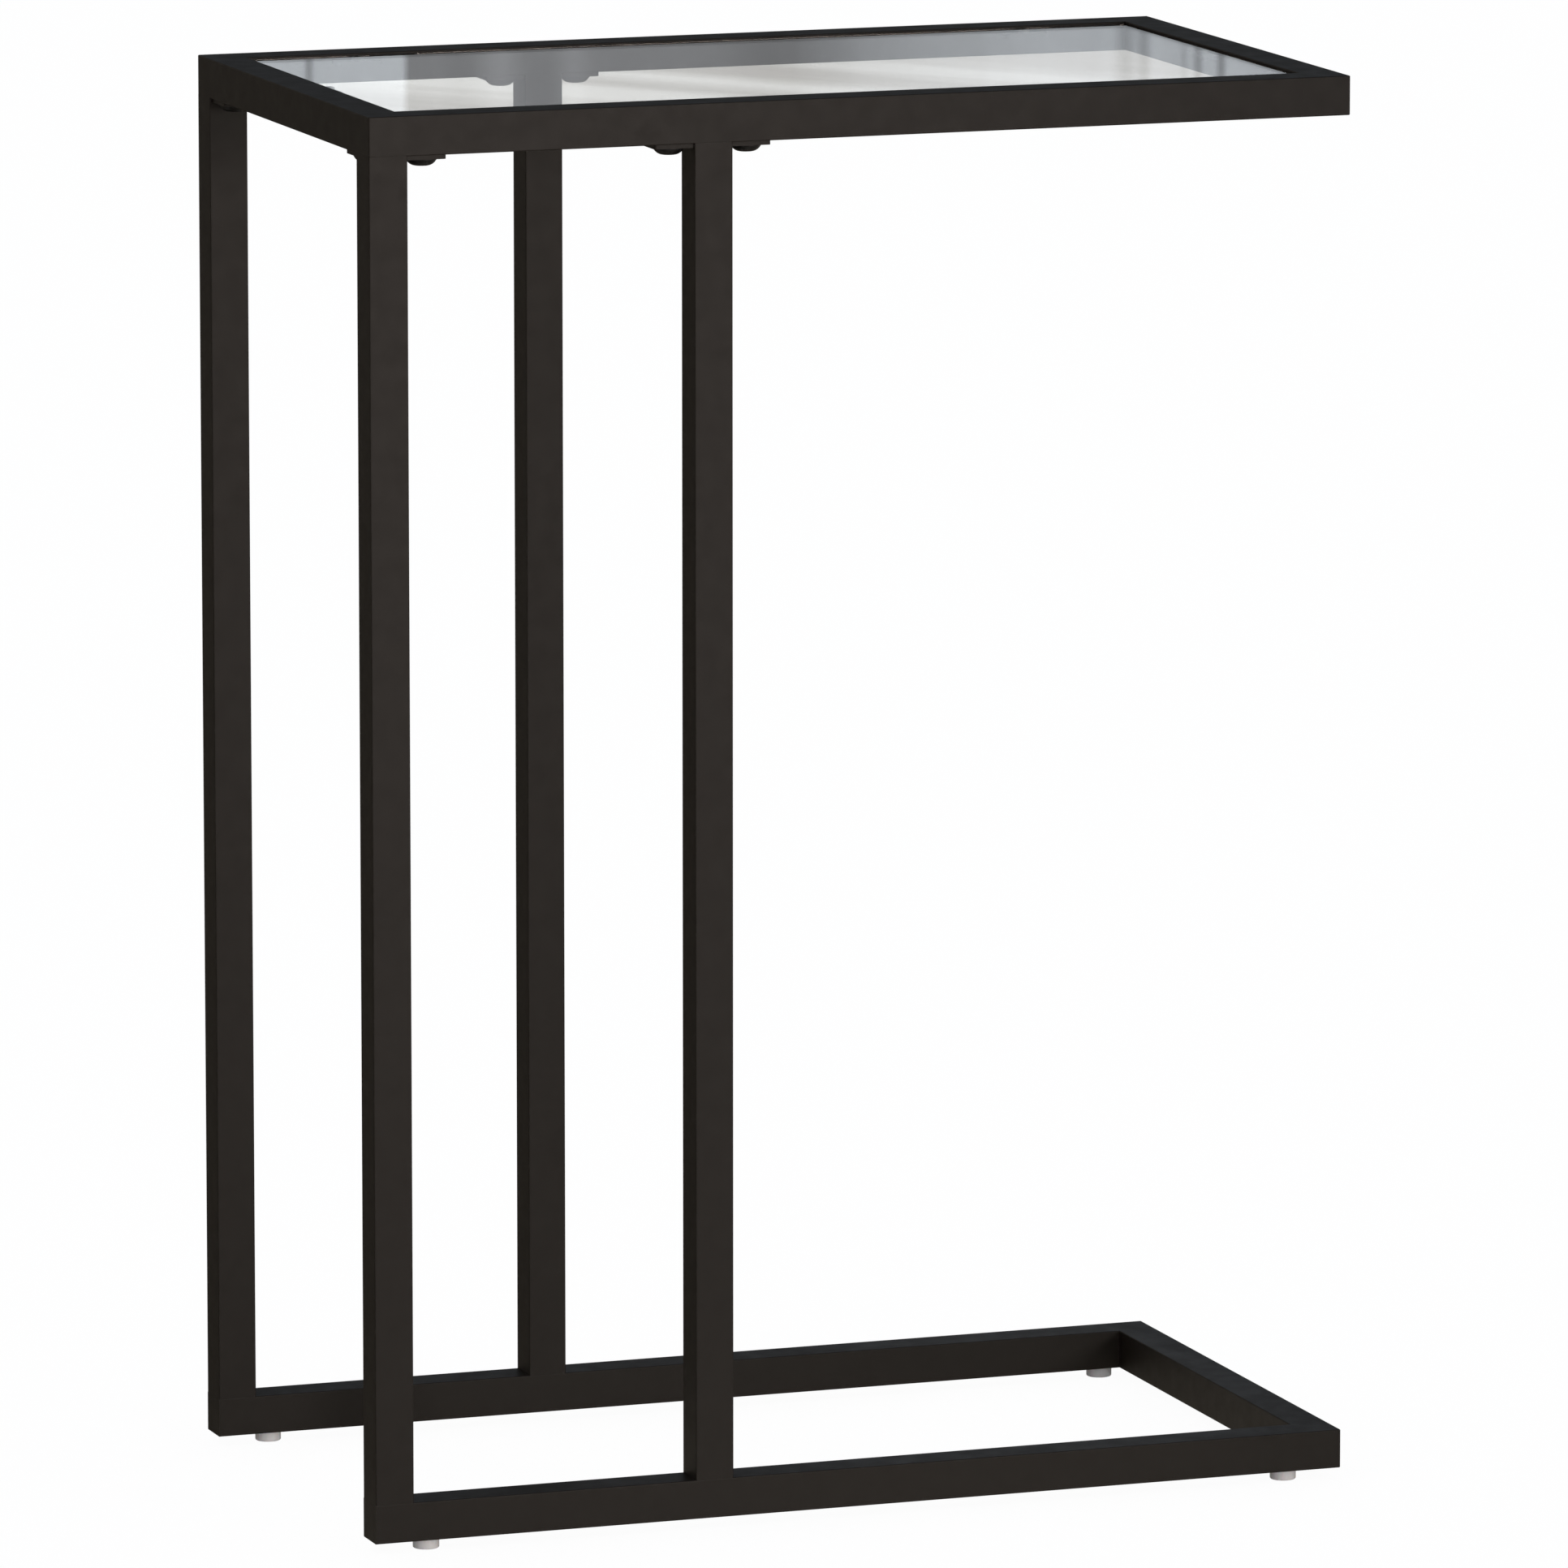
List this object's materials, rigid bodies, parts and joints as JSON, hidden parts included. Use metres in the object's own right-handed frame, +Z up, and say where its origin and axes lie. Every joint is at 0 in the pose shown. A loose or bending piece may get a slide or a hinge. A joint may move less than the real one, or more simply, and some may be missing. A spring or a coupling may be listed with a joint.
{
  "type": "c shaped side table",
  "caption": "Narrow C shaped side table of black square steel tube, with a glass sheet let into the top frame and a base that is open at the leg side.",
  "frame": {"origin": "on the floor, under the middle of the table's outside box", "axes": "+Z up; +X along the long side, away from the legs, so the mouth of the C opens to +X; +Y to the back"},
  "size_m": [0.467, 0.254, 0.65],
  "materials": {
    "powder_coat": "satin black powder coat on steel tube",
    "black_screw": "black coated steel",
    "zinc_insert": "zinc plated steel",
    "glass": "clear float glass, ground edges",
    "clear_bumper": "clear polyurethane",
    "nylon_glide": "off-white nylon"
  },
  "bodies": {
    "root": {"top_rail_front": "powder_coat", "top_rail_back": "powder_coat", "top_rail_left": "powder_coat", "top_rail_right": "powder_coat", "base_rail_front": "powder_coat", "base_rail_back": "powder_coat", "base_rail_right": "powder_coat", "corner_leg_front": "powder_coat", "corner_leg_back": "powder_coat", "middle_leg_front": "powder_coat", "middle_leg_back": "powder_coat", "corner_plate_front": "powder_coat", "corner_plate_back": "powder_coat", "middle_plate_front": "powder_coat", "middle_plate_back": "powder_coat", "base_cap_front": "powder_coat", "base_cap_back": "powder_coat", "glass_lug_front_left": "powder_coat", "glass_lug_front_right": "powder_coat", "glass_lug_back_left": "powder_coat", "glass_lug_back_right": "powder_coat", "glass_lug_left": "powder_coat", "glass_lug_right": "powder_coat", "screw_corner_front_long": "black_screw", "screw_corner_front_short": "black_screw", "screw_corner_back_long": "black_screw", "screw_corner_back_short": "black_screw", "screw_middle_front_left": "black_screw", "screw_middle_front_right": "black_screw", "screw_middle_back_left": "black_screw", "screw_middle_back_right": "black_screw", "rivet_nut_corner_front_long": "zinc_insert", "rivet_nut_corner_front_short": "zinc_insert", "rivet_nut_corner_back_long": "zinc_insert", "rivet_nut_corner_back_short": "zinc_insert", "rivet_nut_middle_front_left": "zinc_insert", "rivet_nut_middle_front_right": "zinc_insert", "rivet_nut_middle_back_left": "zinc_insert", "rivet_nut_middle_back_right": "zinc_insert", "glass_top": "glass", "glass_bumper_front_left": "clear_bumper", "glass_bumper_front_right": "clear_bumper", "glass_bumper_back_left": "clear_bumper", "glass_bumper_back_right": "clear_bumper", "glass_bumper_left": "clear_bumper", "glass_bumper_right": "clear_bumper", "glide_front_left": "nylon_glide", "glide_front_right": "nylon_glide", "glide_back_left": "nylon_glide", "glide_back_right": "nylon_glide"}
  },
  "joints": []
}
